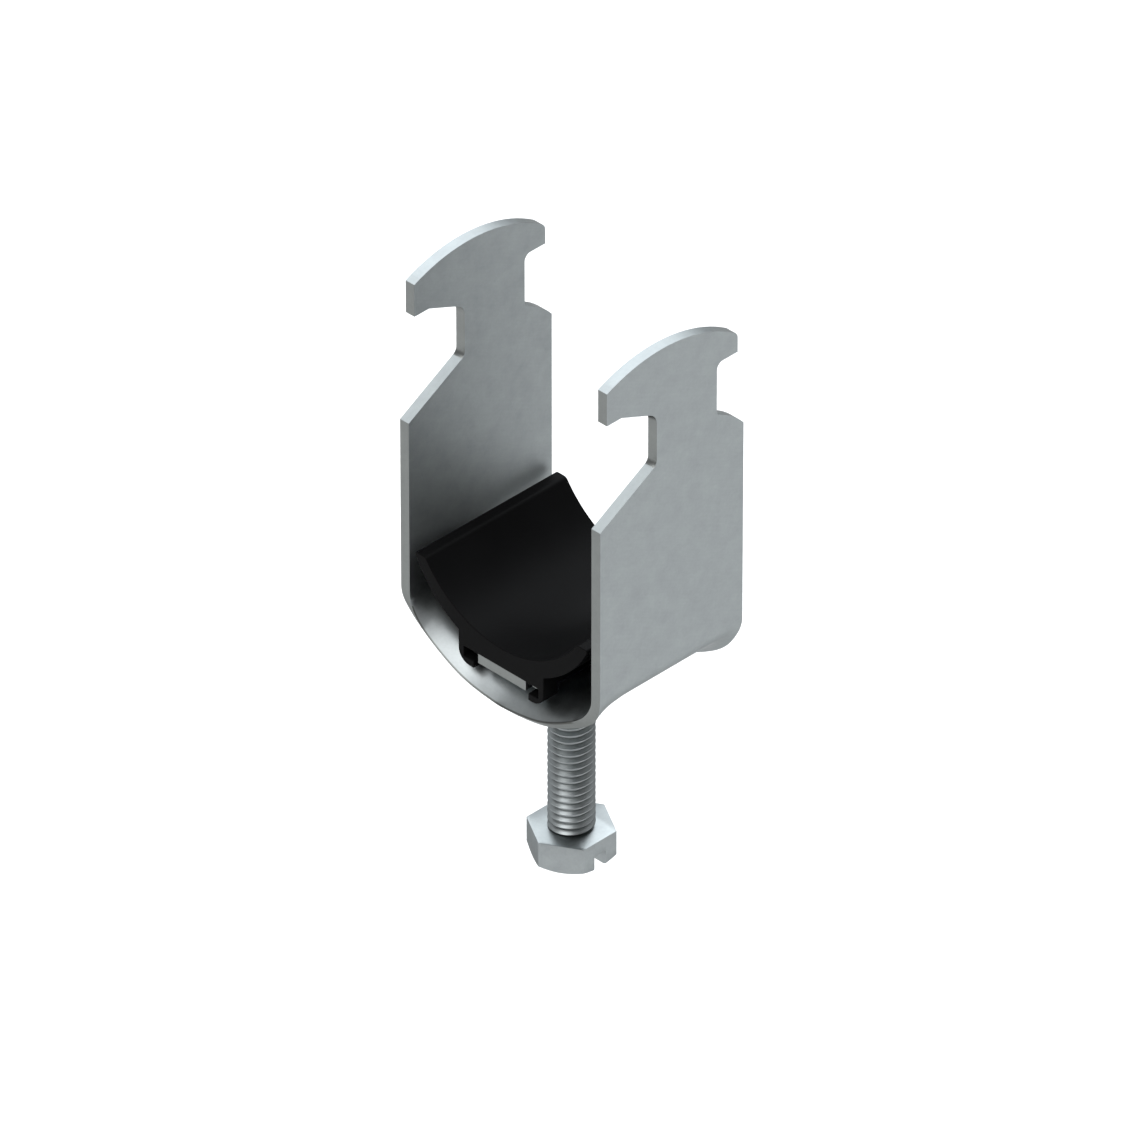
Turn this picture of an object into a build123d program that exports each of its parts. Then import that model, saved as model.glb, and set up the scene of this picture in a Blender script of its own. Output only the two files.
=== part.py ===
from build123d import *
from math import atan, cos, radians, sin, tan
import os

# A stirrup clamp that hangs a cable under a slotted channel rail.
# One bent steel strip makes the bow: two legs with hooked heads and a saddle-shaped base.
# A screw in the base pushes a plastic trough, through a steel plate, up against the cable.
# Origin: on the screw's axis, level with the undersides of the hooks.
# +Z runs up the legs, +Y along the cable, +X along the rail.

# Strip of the bow
strip_thickness = 1.5
strip_width = 24.6
leg_gap = 31.4

# Head of a leg, seen along +X: heights are above the hooks' undersides
head_front = 11.2
head_back = 11.2
head_front_height = 4.67
head_back_height = 2.68
head_crown_radius = 22.5
head_back_round = 1.2
neck_front = 2.65
neck_back = 7.65
hook_flat = 2.5
hook_slope = 22.5
hook_front_round = 2.0
hook_back_round = 1.0

# Shoulders under the neck
front_shoulder_depth = 9.8
front_shoulder_slope = 29.3
front_shoulder_round = 1.2
back_shoulder_depth = 7.6
back_shoulder_fall = 3.3
back_shoulder_bulge = 0.37
back_shoulder_round = 0.8

# Base: bends at the legs, then a shallow arc whose edges flare away from the cable
leg_length = 39.9
bend_radius = 1.5
edge_bend_radius = 6.0
saddle_slope = 39.0
flare_flat = 12.4
bend_stations = 7
saddle_stations = 13

# Clamping screw, M6 with a pitch of 1 mm, and its drawn collar in the base
screw_diameter = 6.0
screw_running_gap = 0.05
screw_tip_gap = 0.05
screw_length = 28.3
screw_tip_chamfer = 0.6
head_height = 4.2
head_across_flats = 10.0
head_face_diameter = 9.5
head_chamfer_angle = 30.0
slot_width = 1.9
slot_depth = 2.15
collar_wall = 1.35
collar_height = 1.5
collar_lead_in = 0.35
collar_rim_round = 0.4

# Trough
trough_end_gap = 0.1
trough_side_gap = 0.7
trough_seat_radius = 15.6
trough_height = 9.6
trough_wall = 2.55
trough_lip_round = 0.8
trough_rim_round = 0.3
pad_depth = 0.3
hook_wall = 0.9
hook_reach = 2.65
hook_foot = 1.0
hook_depth = 2.65
hook_width = 14.7
hook_corner_round = 1.9

# Pressure plate
plate_thickness = 1.5
plate_side_gap = 0.5
plate_floor_gap = 0.45
plate_recess = 0.15
tongue_width = 8.25
tongue_length = 1.2

# Values that follow from the ones above
half_gap = leg_gap / 2
half_outer = half_gap + strip_thickness
half_middle = half_gap + strip_thickness / 2
half_width = strip_width / 2
bend_middle = bend_radius + strip_thickness / 2
saddle_radius = (half_middle - bend_middle) / sin(radians(saddle_slope)) + bend_middle
saddle_centre = -leg_length + (saddle_radius - bend_middle) * cos(radians(saddle_slope))
saddle_floor = saddle_centre - saddle_radius
edge_bend = edge_bend_radius + strip_thickness / 2
edge_radius = (half_middle - edge_bend) / sin(radians(saddle_slope)) + edge_bend
edge_centre = -leg_length + (edge_radius - edge_bend) * cos(radians(saddle_slope))
collar_bottom = saddle_floor - strip_thickness / 2 - collar_height
hook_outer = hook_width / 2
hook_inner = hook_outer - hook_wall
foot_tip = hook_outer - hook_reach
plate_half = hook_inner - plate_side_gap
base_under_plate = saddle_centre - ((saddle_radius - strip_thickness / 2) ** 2 - plate_half**2) ** 0.5
plate_bottom = base_under_plate + plate_floor_gap
pad_bottom = plate_bottom + plate_thickness
trough_bottom = pad_bottom + pad_depth
trough_half = half_gap - trough_side_gap
trough_end = half_width - trough_end_gap
plate_end = trough_end - plate_recess
seat_centre = trough_bottom + trough_wall + trough_seat_radius
lip_height = trough_bottom + trough_height
trough_back_radius = (trough_half**2 + trough_height**2) / (2 * trough_height)
back_centre = trough_bottom + trough_back_radius
foot_bottom = plate_bottom - hook_foot
screw_tip = plate_bottom - screw_tip_gap
head_top = screw_tip - screw_length
head_bottom = head_top - head_height

os.makedirs("parts", exist_ok=True)


def strip_middle(slope):
    """Where the middle of the strip climbs at this slope, in radians: its x and z."""
    if abs(slope) > radians(saddle_slope):
        side = 1 if slope > 0 else -1
        x = side * (half_middle - bend_middle) + bend_middle * sin(slope)
        return x, -leg_length - bend_middle * cos(slope)
    return saddle_radius * sin(slope), saddle_centre - saddle_radius * cos(slope)


def way_out(x, z, slope, centre_x, centre_z, radius):
    """How far it is from x, z, straight out of the base, to a circle around it."""
    along = (x - centre_x) * sin(slope) - (z - centre_z) * cos(slope)
    return (along**2 - (x - centre_x) ** 2 - (z - centre_z) ** 2 + radius**2) ** 0.5 - along


def edge_drop(slope):
    """How far the strip's edges hang outside its middle: they turn on larger radii."""
    x, z = strip_middle(slope)
    drop = way_out(x, z, slope, 0, edge_centre, edge_radius)
    reach = abs(x + drop * sin(slope))
    if reach > edge_radius * sin(radians(saddle_slope)):
        bend_x = (1 if slope > 0 else -1) * (half_middle - edge_bend)
        drop = way_out(x, z, slope, bend_x, -leg_length, edge_bend)
    return drop


def flared_edge(side, face, drop):
    """Half of one face of the strip's section, from the flat middle to the flared edge."""
    half = strip_thickness / 2
    reach = half_width - flare_flat / 2
    flare = atan(2 * drop / reach)
    flare = atan(2 * drop / (reach - half * sin(flare)))
    edge = half_width - half * sin(flare)
    run = edge - flare_flat / 2
    start = (side * flare_flat / 2, face * half)
    bend = (side * (flare_flat / 2 + run / 2 + face * half * tan(flare / 2)), face * half)
    end = (side * (edge + face * half * sin(flare)), face * half * cos(flare) - run / 2 * tan(flare))
    return start, bend, end


with BuildPart() as bow:
    with BuildSketch(Plane.YZ.offset(half_gap), Plane.YZ.offset(-half_outer)) as leg_outline:
        front_shoulder_run = half_width - neck_front
        hook_run = head_front - hook_flat - neck_front
        hook_root = -hook_run * tan(radians(hook_slope))
        front_edge_top = -front_shoulder_depth - front_shoulder_run * tan(radians(front_shoulder_slope))
        back_edge_top = -back_shoulder_depth - back_shoulder_fall
        with BuildLine():
            Polyline(
                (-head_front, head_front_height),
                (-head_front, 0),
                (hook_flat - head_front, 0),
                (-neck_front, hook_root),
                (-neck_front, -front_shoulder_depth),
                (-half_width, front_edge_top),
                (-half_width, -leg_length),
                (half_width, -leg_length),
                (half_width, back_edge_top),
            )
            SagittaArc((half_width, back_edge_top), (neck_back, -back_shoulder_depth), -back_shoulder_bulge)
            Polyline(
                (neck_back, -back_shoulder_depth),
                (neck_back, 0),
                (head_back, 0),
                (head_back, head_back_height),
            )
            RadiusArc(
                (head_back, head_back_height),
                (-head_front, head_front_height),
                -head_crown_radius,
            )
        make_face()
        for corner, radius in (
            ((-neck_front, hook_root), hook_front_round),
            ((-neck_front, -front_shoulder_depth), front_shoulder_round),
            ((neck_back, -back_shoulder_depth), back_shoulder_round),
            ((neck_back, 0), hook_back_round),
            ((head_back, head_back_height), head_back_round),
        ):
            fillet(vertices().sort_by_distance(corner)[0], radius=radius)
    extrude(amount=strip_thickness)

    # The base is lofted in three runs: a bend, the saddle and the other bend
    junction = radians(saddle_slope)
    bend_turn = radians(90) - junction
    bend_slopes = [junction + bend_turn * step / (bend_stations - 1) for step in range(bend_stations)]
    half_turns = [radians(180 * step / (saddle_stations - 1) - 90) for step in range(saddle_stations)]
    saddle_slopes = [junction * sin(half_turn) for half_turn in half_turns]
    for slopes in ([-slope for slope in bend_slopes], saddle_slopes, bend_slopes):
        for slope in slopes:
            x, z = strip_middle(slope)
            drop = edge_drop(slope)
            with BuildSketch(Plane((x, 0, z), x_dir=(0, 1, 0), z_dir=(cos(slope), 0, sin(slope)))):
                with BuildLine():
                    for side in (-1, 1):
                        inner_start, inner_bend, inner_end = flared_edge(side, 1, drop)
                        outer_start, outer_bend, outer_end = flared_edge(side, -1, drop)
                        Bezier(inner_start, inner_bend, inner_end)
                        Line(inner_end, outer_end)
                        Bezier(outer_end, outer_bend, outer_start)
                    flat = flare_flat / 2
                    Line((-flat, strip_thickness / 2), (flat, strip_thickness / 2))
                    Line((-flat, -strip_thickness / 2), (flat, -strip_thickness / 2))
                make_face()
        loft()

    with BuildSketch(Plane.XY.offset(collar_bottom)):
        Circle(screw_diameter / 2 + screw_running_gap + collar_wall)
    extrude(amount=collar_height + strip_thickness)
    with Locations((0, 0, saddle_floor + strip_thickness)):
        Hole(screw_diameter / 2 + screw_running_gap, depth=collar_height + 3 * strip_thickness)
    collar_rim = edges().filter_by(GeomType.CIRCLE).group_by(Axis.Z)[0].sort_by(SortBy.RADIUS)[-1]
    fillet(collar_rim, radius=collar_rim_round)
    hole_mouth = edges().filter_by(GeomType.CIRCLE).group_by(Axis.Z)[0].sort_by(SortBy.RADIUS)[0]
    chamfer(hole_mouth, length=collar_lead_in)

bow.part.label = "bow"
export_step(bow.part, "parts/bow.step")


with BuildPart() as pressure_trough:
    with BuildSketch(Plane.XZ):
        with Locations((0, back_centre)):
            Circle(trough_back_radius)
        with Locations((0, lip_height)):
            Rectangle(
                2 * trough_back_radius,
                2 * trough_back_radius,
                align=(Align.CENTER, Align.MIN),
                mode=Mode.SUBTRACT,
            )
        with Locations((0, pad_bottom)):
            Rectangle(hook_width, trough_wall, align=(Align.CENTER, Align.MIN))
        with Locations((0, seat_centre)):
            Circle(trough_seat_radius, mode=Mode.SUBTRACT)
    extrude(amount=trough_end, both=True)
    lips = edges().filter_by(Axis.Y).group_by(Axis.Z)[-1].sort_by(Axis.X)
    fillet(lips[1:3], radius=trough_lip_round)
    rims = edges().filter_by(Axis.Y).group_by(Axis.Z)[-1].sort_by(Axis.X)
    fillet([rims[0], rims[-1]], radius=trough_rim_round)

    # Four hooks hold the plate against the pad
    for end in (-1, 1):
        for side in (-1, 1):
            with BuildSketch(Plane.XZ.offset(end * trough_end)):
                with BuildLine():
                    Polyline(
                        (side * hook_inner, pad_bottom),
                        (side * hook_outer, pad_bottom),
                        (side * hook_outer, foot_bottom),
                        (side * foot_tip, foot_bottom),
                        (side * foot_tip, plate_bottom),
                        (side * hook_inner, plate_bottom),
                        close=True,
                    )
                make_face()
                corner = vertices().sort_by_distance((side * hook_outer, foot_bottom))[0]
                fillet(corner, radius=hook_corner_round)
            extrude(amount=-end * hook_depth)

pressure_trough.part.label = "pressure_trough"
export_step(pressure_trough.part, "parts/pressure_trough.step")


with BuildPart() as pressure_plate:
    with BuildSketch(Plane.XY.offset(plate_bottom)):
        Rectangle(2 * plate_half, 2 * (plate_end - tongue_length))
        Rectangle(tongue_width, 2 * plate_end)
    extrude(amount=plate_thickness)

pressure_plate.part.label = "pressure_plate"
export_step(pressure_plate.part, "parts/pressure_plate.step")


with BuildPart() as clamping_screw:
    with BuildSketch(Plane.XY.offset(head_bottom)):
        RegularPolygon(head_across_flats / 2, 6, major_radius=False, rotation=30)
    extrude(amount=head_height)
    with BuildSketch(Plane.XZ):
        with BuildLine():
            face_radius = head_face_diameter / 2
            corner_radius = head_across_flats / 2 / cos(radians(30))
            chamfer_height = (corner_radius - face_radius) * tan(radians(head_chamfer_angle))
            Polyline(
                (0, head_bottom),
                (face_radius, head_bottom),
                (corner_radius, head_bottom + chamfer_height),
                (corner_radius, head_top),
                (0, head_top),
                close=True,
            )
        make_face()
    revolve(axis=Axis.Z, mode=Mode.INTERSECT)
    with BuildSketch(Plane.XY.offset(head_bottom)):
        Rectangle(2 * head_across_flats, slot_width)
    extrude(amount=slot_depth, mode=Mode.SUBTRACT)
    with BuildSketch(Plane.XY.offset(head_top)):
        Circle(screw_diameter / 2)
    extrude(amount=screw_length)
    chamfer(edges().group_by(Axis.Z)[-1], length=screw_tip_chamfer)

clamping_screw.part.label = "clamping_screw"
export_step(clamping_screw.part, "parts/clamping_screw.step")
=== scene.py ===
import bmesh
import bpy
from math import atan2, cos, pi, radians, tan
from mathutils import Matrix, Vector


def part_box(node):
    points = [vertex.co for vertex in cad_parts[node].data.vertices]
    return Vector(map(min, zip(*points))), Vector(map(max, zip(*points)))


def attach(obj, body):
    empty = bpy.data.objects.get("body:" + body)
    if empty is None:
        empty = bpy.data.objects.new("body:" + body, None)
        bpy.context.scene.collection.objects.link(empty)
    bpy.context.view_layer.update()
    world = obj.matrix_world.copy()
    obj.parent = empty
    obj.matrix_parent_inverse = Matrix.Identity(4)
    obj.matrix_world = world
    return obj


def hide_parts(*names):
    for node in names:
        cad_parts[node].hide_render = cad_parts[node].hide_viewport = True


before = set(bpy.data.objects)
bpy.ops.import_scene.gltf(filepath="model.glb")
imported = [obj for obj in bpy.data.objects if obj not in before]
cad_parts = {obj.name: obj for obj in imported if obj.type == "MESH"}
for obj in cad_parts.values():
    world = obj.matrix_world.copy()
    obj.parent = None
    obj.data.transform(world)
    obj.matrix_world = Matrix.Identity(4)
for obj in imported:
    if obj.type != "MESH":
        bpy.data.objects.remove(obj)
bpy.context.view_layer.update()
mm = 0.001
print("stirrup clamp: CAD frame loaded")


def addObject(name, data):
    made = bpy.data.objects.new(name, data)
    bpy.context.scene.collection.objects.link(made)
    return made


def objectFrom(bm, name):
    mesh = bpy.data.meshes.new(name)
    bm.to_mesh(mesh)
    bm.free()
    return addObject(name, mesh)


# the photograph's own view
cameraSpec = {
    "target": (0.0, 0.0, -35.5),   # mm, on the screw's axis
    "direction": (1.0, -1.0, 1.0),
    "distance": 2197.8,            # mm
    "lens": 566.93,                # mm, so long that the view is nearly parallel
    "sensor": 36.0,                # mm
    "clip": (0.1, 20.0),           # m
}


def addCamera(spec):
    data = bpy.data.cameras.new("photoCamera")
    data.sensor_width = spec["sensor"]
    data.lens = spec["lens"]
    data.clip_start, data.clip_end = spec["clip"]
    camera = addObject("photoCamera", data)
    back = Vector(spec["direction"]).normalized()
    camera.location = (Vector(spec["target"]) + back * spec["distance"]) * mm
    camera.rotation_euler = (-back).to_track_quat("-Z", "Y").to_euler()
    bpy.context.scene.camera = camera


addCamera(cameraSpec)
print("camera ready")


# the shader nodes that the finishes share, each added by one short call
def newMaterial(name):
    material = bpy.data.materials.new(name)
    material.use_nodes = True
    tree = material.node_tree
    tree.nodes.clear()
    output = tree.nodes.new("ShaderNodeOutputMaterial")
    return material, tree, output.inputs["Surface"]


def newFinish(name):
    material, tree, surface = newMaterial(name)
    shader = tree.nodes.new("ShaderNodeBsdfPrincipled")
    tree.links.new(shader.outputs["BSDF"], surface)
    return material, tree, shader


# a value is another node's output, a colour or a plain number
def setOrLink(tree, socket, value):
    if hasattr(value, "is_output"):
        tree.links.new(value, socket)
    elif isinstance(value, tuple):
        socket.default_value = (*value, 1.0)
    else:
        socket.default_value = value


def objectPlace(tree):
    return tree.nodes.new("ShaderNodeTexCoord").outputs["Object"]


def noiseOf(tree, vector, scale, detail, rough=0.55):
    noise = tree.nodes.new("ShaderNodeTexNoise")
    noise.inputs["Scale"].default_value = scale
    noise.inputs["Detail"].default_value = detail
    noise.inputs["Roughness"].default_value = rough
    tree.links.new(vector, noise.inputs["Vector"])
    return noise.outputs["Fac"]


def twoTone(tree, value, first, second, spread):
    node = tree.nodes.new("ShaderNodeValToRGB")
    for element, colour, position in zip(node.color_ramp.elements, (first, second), spread):
        element.position = position
        element.color = (*colour, 1.0)
    tree.links.new(value, node.inputs["Fac"])
    return node.outputs["Color"]


def rangeOf(tree, value, low, high, start=0.0, end=1.0):
    node = tree.nodes.new("ShaderNodeMapRange")
    node.inputs["From Min"].default_value = start
    node.inputs["From Max"].default_value = end
    node.inputs["To Min"].default_value = low
    node.inputs["To Max"].default_value = high
    tree.links.new(value, node.inputs["Value"])
    return node.outputs["Result"]


def rising(tree, value, span):
    return rangeOf(tree, value, 0.0, 1.0, *span)


def falling(tree, value, span):
    return rangeOf(tree, value, 1.0, 0.0, *span)


def maths(tree, operation, *values):
    node = tree.nodes.new("ShaderNodeMath")
    node.operation = operation
    for socket, value in zip(node.inputs, values):
        setOrLink(tree, socket, value)
    return node.outputs["Value"]


def mixColour(tree, factor, first, second, blend="MIX"):
    node = tree.nodes.new("ShaderNodeMix")
    node.data_type = "RGBA"
    node.blend_type = blend
    colours = node.inputs[6], node.inputs[7]    # this node's other sockets mix numbers and vectors
    for socket, value in zip((node.inputs["Factor"], *colours), (factor, first, second)):
        setOrLink(tree, socket, value)
    return node.outputs[2]


def bump(tree, height, strength, distance):
    node = tree.nodes.new("ShaderNodeBump")
    node.inputs["Strength"].default_value = strength
    node.inputs["Distance"].default_value = distance
    tree.links.new(height, node.inputs["Height"])
    return node.outputs["Normal"]


# zinc-coated steel: cloudy patches, a fine grain and faint rolling marks
zincFinish = {
    "cool": (0.287, 0.306, 0.312),
    "warm": (0.281, 0.301, 0.304),
    "toneSpread": (0.36, 0.64),     # where in the patches the tone turns from cool to warm
    "grazing": 0.5,                 # how much of the mirror-like rim is left
    "roughness": (0.33, 0.42),
    "patchScale": 420.0,
    "patchDetail": 6.0,
    "patchRoughness": 0.62,
    "patchReach": 0.20,             # how far the patches lighten and darken the colour
    "grainScale": 2600.0,
    "grainDetail": 3.0,
    "grainReach": 0.05,
    "grainBump": 0.12,
    "grainDepth": 0.02,             # mm
    "hairScale": 3200.0,
    "hairDetail": 2.0,
    "hairRoughness": 0.5,
    "hairLength": 14.0,             # times their width
    "hairTilt": -26.6,              # degrees, the rolling marks against the y axis
    "hairReach": 0.035,
}
stripFinish = {
    **zincFinish,
    "shearedEdgeAndShade": (0.675, 0.660, 0.635),   # tint of the faces that the shears left: their duller bare steel, darkened further with painted shade
    "rim": (0.45, 0.44, 0.42),              # tint of the base's flared rim: painted shade over its duller bare cut face and bevels
    "insideRoughness": 0.50,                # of the legs' inner faces
}
screwFinish = {
    **zincFinish,
    "cool": (0.272, 0.290, 0.296),
    "warm": (0.266, 0.285, 0.288),
    "grazing": 0.34,
    "roughness": (0.31, 0.39),
    "patchScale": 700.0,
}

# where the strip's own faces lie: parts of a normal, and heights and distances in m
stripFaces = {
    "cutSquare": (0.80, 0.97),         # y of a cut face square to the strip
    "cutSloping": (0.34, 0.62),        # y of one on a shoulder or a crown
    "slopingAbove": -0.030,
    "flareOut": (0.50, 0.62),          # outward y of the flared base's cut face
    "flareUp": (0.30, 0.60),           # upward z at which that face ends
    "rimDistance": (0.01208, 0.01216),
    "rimHeight": (-0.041, -0.038),
    "rimOut": (0.3, 0.8),              # outward y
    "insideOut": (-0.98, -0.90),       # outward x of the legs' inner faces
    "insideHeight": (-0.037, -0.034),
}


def stretched(tree, vector, tilt, length):
    mapping = tree.nodes.new("ShaderNodeMapping")
    mapping.vector_type = "TEXTURE"
    mapping.inputs["Rotation"].default_value = (radians(tilt), 0.0, 0.0)
    mapping.inputs["Scale"].default_value = (1.0, length, 1.0)
    tree.links.new(vector, mapping.inputs["Vector"])
    return mapping.outputs["Vector"]


# a point's place and its face's direction, each by x, y and z
def placeAndNormal(tree):
    geometry = tree.nodes.new("ShaderNodeNewGeometry")
    place = tree.nodes.new("ShaderNodeSeparateXYZ")
    normal = tree.nodes.new("ShaderNodeSeparateXYZ")
    tree.links.new(objectPlace(tree), place.inputs["Vector"])
    tree.links.new(geometry.outputs["True Normal"], normal.inputs["Vector"])
    return place.outputs, normal.outputs


# how far a face points away from the clamp's middle along one axis
def outward(tree, place, normal, axis):
    return maths(tree, "MULTIPLY", normal[axis], maths(tree, "SIGN", place[axis]))


# the strip's cut faces, which get the sheared-edge tint: duller bare steel with painted shade on top
def cutFaces(tree, spec):
    place, normal = placeAndNormal(tree)
    across = maths(tree, "ABSOLUTE", normal["Y"])
    square = rising(tree, across, spec["cutSquare"])
    high = maths(tree, "GREATER_THAN", place["Z"], spec["slopingAbove"])
    sloping = maths(tree, "MULTIPLY", rising(tree, across, spec["cutSloping"]), high)
    away = rising(tree, outward(tree, place, normal, "Y"), spec["flareOut"])
    level = falling(tree, normal["Z"], spec["flareUp"])
    flared = maths(tree, "MULTIPLY", away, level)
    return maths(tree, "MAXIMUM", maths(tree, "MAXIMUM", square, sloping), flared)


# the flared rim's cut face and bevels, where the rim tint paints shade
def rimShadeMask(tree, spec):
    place, normal = placeAndNormal(tree)
    near = rising(tree, maths(tree, "ABSOLUTE", place["Y"]), spec["rimDistance"])
    low = falling(tree, place["Z"], spec["rimHeight"])
    away = outward(tree, place, normal, "Y")
    least, most = spec["rimOut"]
    over = maths(tree, "GREATER_THAN", away, least)
    under = maths(tree, "LESS_THAN", away, most)
    tilted = maths(tree, "MULTIPLY", over, under)
    return maths(tree, "MULTIPLY", maths(tree, "MULTIPLY", near, low), tilted)


def innerFaces(tree, spec):
    place, normal = placeAndNormal(tree)
    inward = falling(tree, outward(tree, place, normal, "X"), spec["insideOut"])
    high = rising(tree, place["Z"], spec["insideHeight"])
    return maths(tree, "MULTIPLY", inward, high)


def zincMaterial(name, spec):
    material, tree, shader = newFinish(name)
    here = objectPlace(tree)
    drawn = stretched(tree, here, spec["hairTilt"], spec["hairLength"])
    patches = noiseOf(tree, here, spec["patchScale"], spec["patchDetail"], spec["patchRoughness"])
    grain = noiseOf(tree, here, spec["grainScale"], spec["grainDetail"])
    hairs = noiseOf(tree, drawn, spec["hairScale"], spec["hairDetail"], spec["hairRoughness"])
    colour = twoTone(tree, patches, spec["cool"], spec["warm"], spec["toneSpread"])
    for mottle, reach in ((patches, "patchReach"), (grain, "grainReach"), (hairs, "hairReach")):
        tone = rangeOf(tree, mottle, 1 - spec[reach], 1 + spec[reach])
        colour = mixColour(tree, 1.0, colour, tone, "MULTIPLY")
    # the cut faces and the flared rim are darkened: their duller bare steel, with painted shade laid over
    # it
    for tint, where in (("shearedEdgeAndShade", cutFaces), ("rim", rimShadeMask)):
        if tint in spec:
            tinted = mixColour(tree, 1.0, colour, spec[tint], "MULTIPLY")
            colour = mixColour(tree, where(tree, stripFaces), colour, tinted)
    roughness = rangeOf(tree, patches, *spec["roughness"])
    if "insideRoughness" in spec:
        change = maths(tree, "SUBTRACT", spec["insideRoughness"], roughness)
        roughness = maths(tree, "MULTIPLY_ADD", innerFaces(tree, stripFaces), change, roughness)
    tree.links.new(colour, shader.inputs["Base Color"])
    tree.links.new(roughness, shader.inputs["Roughness"])
    tree.links.new(bump(tree, grain, spec["grainBump"], spec["grainDepth"] * mm), shader.inputs["Normal"])
    shader.inputs["Metallic"].default_value = 1.0
    shader.inputs["Specular Tint"].default_value = (*(spec["grazing"],) * 3, 1.0)
    return material


# black moulded plastic, nearly matt
plasticFinish = {
    "colour": (0.0034, 0.0034, 0.0035),
    "paler": 1.35,                  # times the colour, in the clouds
    "toneSpread": (0.3, 0.7),
    "roughness": (0.38, 0.46),
    "gloss": 0.018,                 # specular level
    "cloudScale": 90.0,
    "cloudDetail": 3.0,
    "grainScale": 1800.0,
    "grainDetail": 2.0,
    "grainBump": 0.08,
    "grainDepth": 0.01,             # mm
}


def plasticMaterial(name, spec):
    material, tree, shader = newFinish(name)
    here = objectPlace(tree)
    cloud = noiseOf(tree, here, spec["cloudScale"], spec["cloudDetail"])
    grain = noiseOf(tree, here, spec["grainScale"], spec["grainDetail"])
    pale = tuple(c * spec["paler"] for c in spec["colour"])
    colour = twoTone(tree, cloud, spec["colour"], pale, spec["toneSpread"])
    tree.links.new(colour, shader.inputs["Base Color"])
    tree.links.new(rangeOf(tree, cloud, *spec["roughness"]), shader.inputs["Roughness"])
    tree.links.new(bump(tree, grain, spec["grainBump"], spec["grainDepth"] * mm), shader.inputs["Normal"])
    shader.inputs["Specular IOR Level"].default_value = spec["gloss"]
    return material


zinc = zincMaterial("zincStrip", stripFinish)
screwZinc = zincMaterial("zincScrew", screwFinish)
plastic = plasticMaterial("blackPlastic", plasticFinish)
print("materials ready")

# pieces that keep the CAD shape, with their edges softened; lengths in mm
pieceSpec = {
    "bow": {
        "name": "bentStrip", "body": "bow body", "slot": "galvanised_strip",
        "material": zinc, "edge": 0.10,
    },
    "pressure_trough": {
        "name": "cableTrough", "body": "trough body", "slot": "black_plastic",
        "material": plastic, "edge": 0.10,
    },
    "pressure_plate": {
        "name": "pressurePlate", "body": "trough body", "slot": "plate_steel",
        "material": zinc, "edge": 0.08,
    },
}
softening = {
    "mergeDistance": 0.0005,
    "flatAngle": 0.4,      # degrees, under which facets of one face join
    "sharpAngle": 30.0,    # degrees, over which an edge is softened
    "segments": 2,
    "evenWeight": 80,
}


def softCopy(node, spec):
    bm = bmesh.new()
    bm.from_mesh(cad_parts[node].data)
    bmesh.ops.scale(bm, vec=(1 / mm, 1 / mm, 1 / mm), verts=bm.verts)
    bmesh.ops.remove_doubles(bm, verts=bm.verts, dist=softening["mergeDistance"])
    bmesh.ops.dissolve_limit(
        bm, angle_limit=radians(softening["flatAngle"]), verts=bm.verts, edges=bm.edges, delimit={"NORMAL"},
    )
    sharpAngle = radians(softening["sharpAngle"])
    sharp = [e for e in bm.edges if len(e.link_faces) == 2 and e.calc_face_angle() > sharpAngle]
    bmesh.ops.bevel(
        bm, geom=sharp, offset=spec["edge"], offset_type="OFFSET", segments=softening["segments"],
        profile=0.5, affect="EDGES", material=-1, clamp_overlap=True,
    )
    for face in bm.faces:
        face.smooth = True
    bmesh.ops.scale(bm, vec=(mm, mm, mm), verts=bm.verts)
    piece = objectFrom(bm, spec["name"])
    piece.data.materials.append(spec["material"])
    weighted = piece.modifiers.new("evenShading", "WEIGHTED_NORMAL")
    weighted.keep_sharp = True
    weighted.weight = softening["evenWeight"]
    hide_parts(node)
    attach(piece, spec["body"])
    print(spec["name"], len(piece.data.polygons), "faces,", len(sharp), "softened edges")


for node, spec in pieceSpec.items():
    softCopy(node, spec)

# the clamping screw with its real thread; lengths in mm, angles in degrees
screwSpec = {
    "radius": 3.0,
    "rootRadius": 2.50,
    "pitch": 1.0,
    "crest": 0.09,          # width of the thread's flat top
    "root": 0.11,           # width of its flat bottom
    "stepsPerTurn": 40,
    "tipTaper": 0.6,
    "headHeight": 4.2,
    "acrossFlats": 10.0,
    "faceDiameter": 9.5,    # of the flat round face under the corners' chamfer
    "chamferAngle": 30.0,
    "headSegments": 72,
    "slotWidth": 1.9,
    "slotDepth": 2.15,
    "softEdge": 0.09,
    "softSegments": 2,
    "softAngle": 22.0,
    "smoothAngle": 28.0,
    "sunkIntoHead": 0.05,   # the thread starts this far inside the head
    "mergeDistance": 0.001,
    "planeDistance": 0.0001,
}


def vertsOf(geom):
    return [g for g in geom if isinstance(g, bmesh.types.BMVert)]


def edgesOf(geom):
    return [g for g in geom if isinstance(g, bmesh.types.BMEdge)]


# the distance from the axis to a hexagon's side, towards x, y
def hexRadius(x, y, acrossFlats):
    turn = (atan2(y, x) + radians(30)) % radians(60) - radians(30)
    return acrossFlats / 2 / cos(turn)


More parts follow.
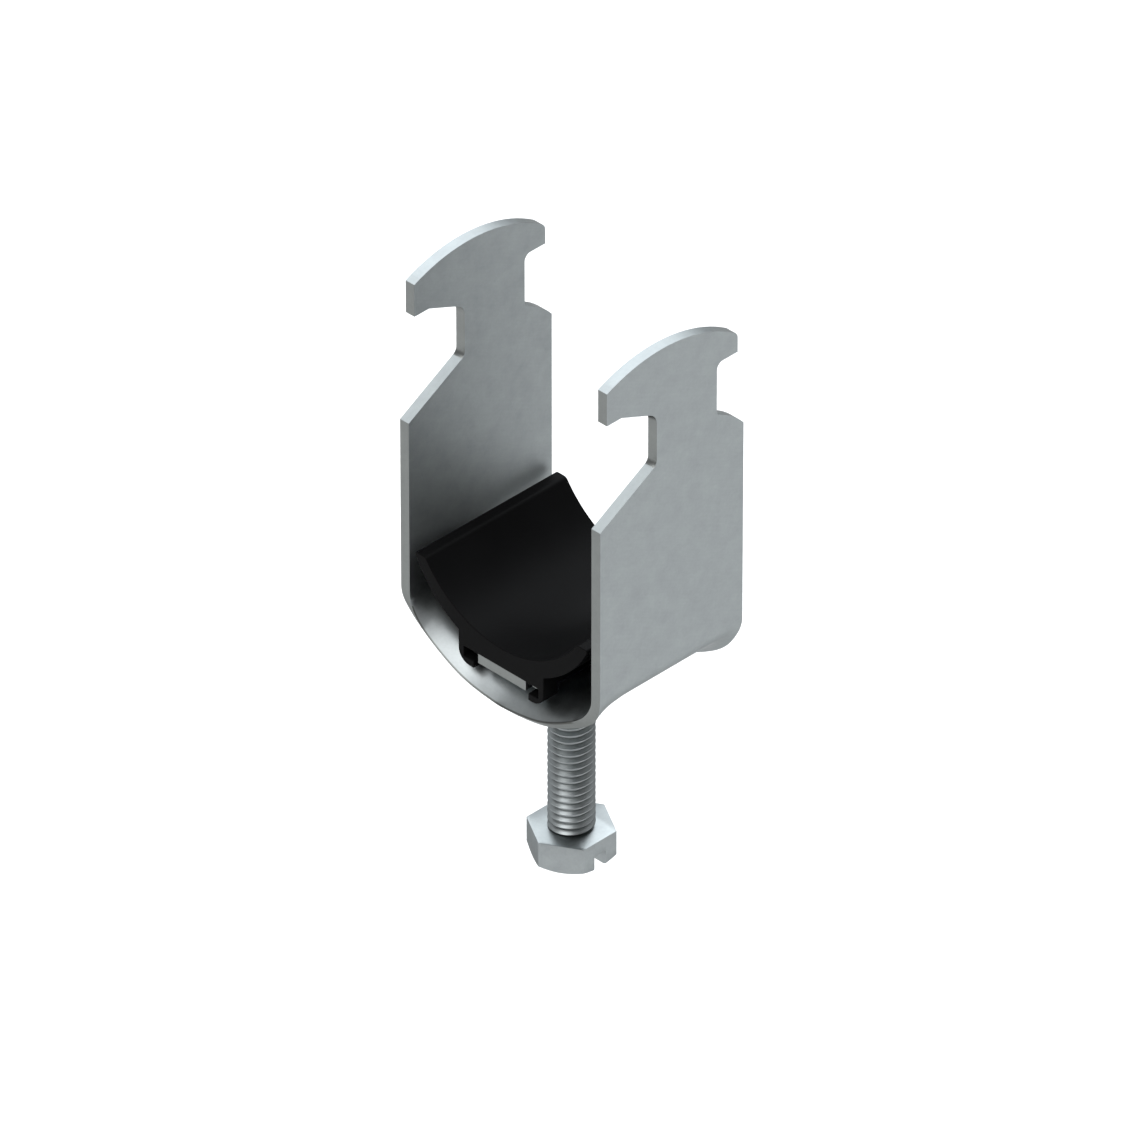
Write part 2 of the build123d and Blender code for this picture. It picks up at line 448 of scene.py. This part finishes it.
# a hexagon, its sides drawn down to the corners' chamfer, and the chamfer drawn in to the round face
def addHead(bm, spec, bottom, top):
    ring = bmesh.ops.create_circle(bm, cap_ends=True, segments=spec["headSegments"], radius=1.0)["verts"]
    for v in ring:
        v.co *= hexRadius(v.co.x, v.co.y, spec["acrossFlats"])    # from a circle of radius 1
        v.co.z = top
    loop = list({e for v in ring for e in v.link_edges})
    faceRadius = spec["faceDiameter"] / 2
    slope = tan(radians(spec["chamferAngle"]))
    side = bmesh.ops.extrude_edge_only(bm, edges=loop)["geom"]
    for v in vertsOf(side):
        v.co.z = bottom + (v.co.xy.length - faceRadius) * slope
    rim = bmesh.ops.extrude_edge_only(bm, edges=edgesOf(side))["geom"]
    for v in vertsOf(rim):
        v.co.xy *= faceRadius / v.co.xy.length
        v.co.z = bottom
    bmesh.ops.contextual_create(bm, geom=edgesOf(rim))


# one pitch of the profile, wound up the shank, cut off square and tapered at the tip
def addThread(bm, spec, start, end):
    pitch, root, crest = spec["pitch"], spec["root"], spec["crest"]
    flank = (pitch - crest - root) / 2
    rise = (0, root, root + flank, root + flank + crest, pitch)
    depth = (spec["rootRadius"], spec["rootRadius"], spec["radius"], spec["radius"], spec["rootRadius"])
    begin = start - pitch
    verts = [bm.verts.new((r, 0, begin + z)) for r, z in zip(depth, rise)]
    edges = [bm.edges.new(pair) for pair in zip(verts, verts[1:])]
    turns = int((end - begin) / pitch) + 2
    steps = spec["stepsPerTurn"]
    bmesh.ops.spin(
        bm, geom=verts + edges, cent=(0, 0, 0), axis=(0, 0, 1),
        dvec=(0, 0, pitch / steps), angle=2 * pi * turns, steps=steps * turns, use_merge=False,
    )
    bmesh.ops.remove_doubles(bm, verts=bm.verts, dist=spec["mergeDistance"])
    for height, up in ((start, -1), (end, 1)):
        everything = bm.verts[:] + bm.edges[:] + bm.faces[:]
        cut = bmesh.ops.bisect_plane(
            bm, geom=everything, dist=spec["planeDistance"],
            plane_co=(0, 0, height), plane_no=(0, 0, up), clear_outer=True,
        )["geom_cut"]
        bmesh.ops.contextual_create(bm, geom=edgesOf(cut))
    for v in bm.verts:
        limit = spec["radius"] - spec["tipTaper"] + (end - v.co.z)
        if v.co.xy.length > limit:
            v.co.xy *= limit / v.co.xy.length


def outwardForm(bm, name):
    bmesh.ops.recalc_face_normals(bm, faces=bm.faces)
    bmesh.ops.scale(bm, vec=(mm, mm, mm), verts=bm.verts)
    return objectFrom(bm, name)


def slotCutter(spec, bottom):
    size = (3 * spec["acrossFlats"], spec["slotWidth"], 2 * spec["slotDepth"])   # half of it stands below
    bm = bmesh.new()
    bmesh.ops.create_cube(bm, size=1.0)
    bmesh.ops.scale(bm, vec=size, verts=bm.verts)
    bmesh.ops.translate(bm, vec=(0, 0, bottom), verts=bm.verts)
    return outwardForm(bm, "slotCutter")


def applyModifiers(piece):
    evaluated = piece.evaluated_get(bpy.context.evaluated_depsgraph_get())
    mesh = bpy.data.meshes.new_from_object(evaluated)
    piece.modifiers.clear()
    piece.data = mesh


def makeScrew(spec):
    low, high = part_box("clamping_screw")
    bottom, tip = low.z / mm, high.z / mm
    top = bottom + spec["headHeight"]
    head = bmesh.new()
    addHead(head, spec, bottom, top)
    piece = outwardForm(head, "clampingScrew")
    cutter = slotCutter(spec, bottom)
    slot = piece.modifiers.new("slot", "BOOLEAN")
    slot.operation = "DIFFERENCE"
    slot.object = cutter
    soften = piece.modifiers.new("softEdges", "BEVEL")
    soften.width = spec["softEdge"] * mm
    soften.segments = spec["softSegments"]
    soften.limit_method = "ANGLE"
    soften.angle_limit = radians(spec["softAngle"])
    applyModifiers(piece)
    bpy.data.objects.remove(cutter)
    shank = bmesh.new()
    addThread(shank, spec, top - spec["sunkIntoHead"], tip)
    thread = outwardForm(shank, "threadForm")
    joined = bmesh.new()
    joined.from_mesh(piece.data)
    joined.from_mesh(thread.data)
    joined.to_mesh(piece.data)
    joined.free()
    bpy.data.objects.remove(thread)
    for face in piece.data.polygons:
        face.use_smooth = True
    piece.data.set_sharp_from_angle(angle=radians(spec["smoothAngle"]))
    piece.data.materials.clear()
    piece.data.materials.append(screwZinc)
    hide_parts("clamping_screw")
    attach(piece, "screw body")


makeScrew(screwSpec)
print("screw made")

# a pale floor far below, a weak even world and three soft lamps
studioSpec = {
    "floorHeight": -150.0,         # mm, well under the hanging clamp
    "floorSize": 30.0,             # m
    "floorColour": (0.755, 0.745, 0.735),
    "whitening": 0.03,             # the floor's own glow, for the camera and for reflections
    "world": 0.42,
}


def addFloor(spec):
    bm = bmesh.new()
    bmesh.ops.create_grid(bm, x_segments=1, y_segments=1, size=spec["floorSize"] / 2)
    bmesh.ops.translate(bm, vec=(0, 0, spec["floorHeight"] * mm), verts=bm.verts)
    floor = objectFrom(bm, "studioFloor")
    material, tree, surface = newMaterial("paleFloor")
    matte = tree.nodes.new("ShaderNodeBsdfDiffuse")
    matte.inputs["Color"].default_value = (*spec["floorColour"], 1.0)
    glow = tree.nodes.new("ShaderNodeEmission")
    path = tree.nodes.new("ShaderNodeLightPath").outputs
    seen = maths(tree, "MAXIMUM", path["Is Camera Ray"], path["Is Glossy Ray"])
    seen = maths(tree, "MAXIMUM", seen, path["Is Transmission Ray"])
    tree.links.new(maths(tree, "MULTIPLY", seen, spec["whitening"]), glow.inputs["Strength"])
    both = tree.nodes.new("ShaderNodeAddShader")
    tree.links.new(matte.outputs["BSDF"], both.inputs[0])
    tree.links.new(glow.outputs["Emission"], both.inputs[1])
    tree.links.new(both.outputs["Shader"], surface)
    floor.data.materials.append(material)


# the lamps' places and sizes, and the point that they face, in m
lampAim = (0.0, 0.0, -0.03)
lampSpec = {
    "softbox": {
        "place": (-0.52, 0.46, 1.08), "size": (2.2, 2.2), "power": 41.0, "colour": (0.91, 0.96, 1.0),
    },
    "frontTop": {
        "place": (0.00, -0.75, 0.98), "size": (0.90, 0.75), "power": 7.8, "colour": (1.0, 1.0, 1.0),
    },
    "backTop": {
        "place": (-0.12, 0.72, 1.00), "size": (0.50, 0.50), "power": 2.6, "colour": (0.93, 0.97, 1.0),
    },
}


def addLamp(name, spec):
    data = bpy.data.lights.new(name, "AREA")
    data.shape = "RECTANGLE"
    data.size, data.size_y = spec["size"]
    data.energy = spec["power"]
    data.color = spec["colour"]
    lamp = addObject(name, data)
    lamp.location = spec["place"]
    aim = Vector(lampAim) - lamp.location
    lamp.rotation_euler = aim.to_track_quat("-Z", "Y").to_euler()


def addWorld(spec):
    world = bpy.data.worlds.new("studioWorld")
    world.use_nodes = True
    background = world.node_tree.nodes["Background"]
    background.inputs["Color"].default_value = (1.0, 1.0, 1.0, 1.0)
    background.inputs["Strength"].default_value = spec["world"]
    bpy.context.scene.world = world


addFloor(studioSpec)
addWorld(studioSpec)
for name, spec in lampSpec.items():
    addLamp(name, spec)
bpy.context.scene.view_settings.view_transform = "Standard"
print("floor and light ready")
